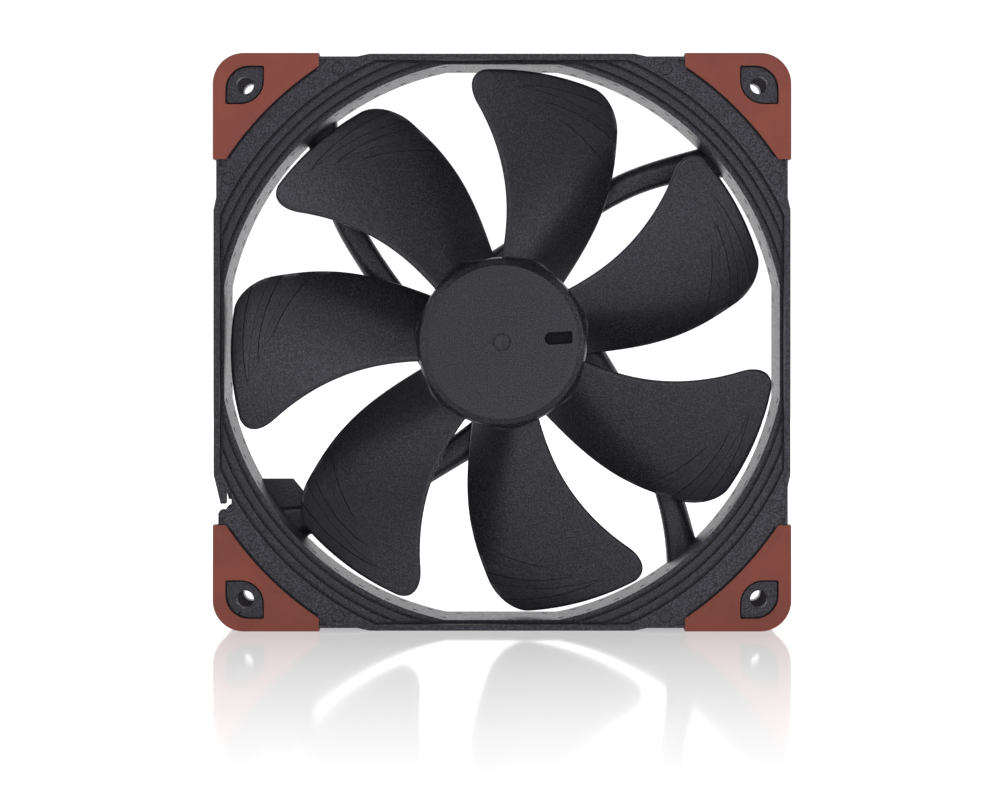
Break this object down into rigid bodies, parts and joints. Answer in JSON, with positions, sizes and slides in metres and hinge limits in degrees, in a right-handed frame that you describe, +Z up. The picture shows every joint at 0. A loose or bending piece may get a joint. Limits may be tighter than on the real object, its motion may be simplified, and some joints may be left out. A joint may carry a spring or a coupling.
{
  "type": "case fan",
  "caption": "Square axial case fan with a stepped inlet, curved struts, swept blades, rubber corner pads and a freely turning rotor.",
  "frame": {"origin": "on the rotor's axis, half way through the fan's depth, which is the centre of its bounding box", "axes": "+Y along the rotor's axis, from the intake face to the exhaust face; +X to the right as seen from the intake; +Z up"},
  "size_m": [0.14, 0.025, 0.14],
  "materials": {
    "frame_plastic": "fine spark-eroded texture, glass-filled",
    "impeller_plastic": "fine spark-eroded texture, glass-filled",
    "pad_rubber": "smooth matte silicone, brick brown",
    "brass": "turned",
    "sintered_bronze": "sintered, oil filled",
    "thrust_polymer": "smooth",
    "seal_rubber": "smooth",
    "lamination_steel": "stacked laminations",
    "insulator_plastic": "moulded",
    "board": "green solder mask",
    "chip_epoxy": "moulded epoxy",
    "capacitor_ceramic": "fired",
    "resistor_ceramic": "fired",
    "steel": "bright",
    "label_paper": "blank, matte coated",
    "ferrite": "bonded ferrite",
    "copper_wire": "enamelled copper winding",
    "clip_nylon": "moulded nylon"
  },
  "bodies": {
    "housing": {"frame": "frame_plastic", "pad_front_top_right": "pad_rubber", "pad_front_top_left": "pad_rubber", "pad_front_bottom_left": "pad_rubber", "pad_front_bottom_right": "pad_rubber", "pad_rear_top_right": "pad_rubber", "pad_rear_top_left": "pad_rubber", "pad_rear_bottom_left": "pad_rubber", "pad_rear_bottom_right": "pad_rubber", "bearing_tube": "brass", "sleeve_bearing": "sintered_bronze", "thrust_plate": "thrust_polymer", "oil_seal": "seal_rubber", "stator_core": "lamination_steel", "stator_insulator_front": "insulator_plastic", "stator_insulator_rear": "insulator_plastic", "coil_1": "copper_wire", "coil_2": "copper_wire", "coil_3": "copper_wire", "coil_4": "copper_wire", "coil_5": "copper_wire", "coil_6": "copper_wire", "circuit_board": "board", "driver_ic": "chip_epoxy", "hall_sensor": "chip_epoxy", "capacitors": "capacitor_ceramic", "resistors": "resistor_ceramic", "winding_pins": "steel", "rear_label": "label_paper"},
    "rotor": {"impeller": "impeller_plastic", "rotor_yoke": "steel", "magnet_ring": "ferrite", "shaft": "steel", "shaft_bush": "brass", "retaining_clip": "clip_nylon"}
  },
  "joints": [
    {"name": "rotor_spin", "type": "hinge", "parent": "housing", "child": "rotor", "pos_m": [0, 0, 0], "axis": [0, -1, 0], "continuous": true}
  ]
}
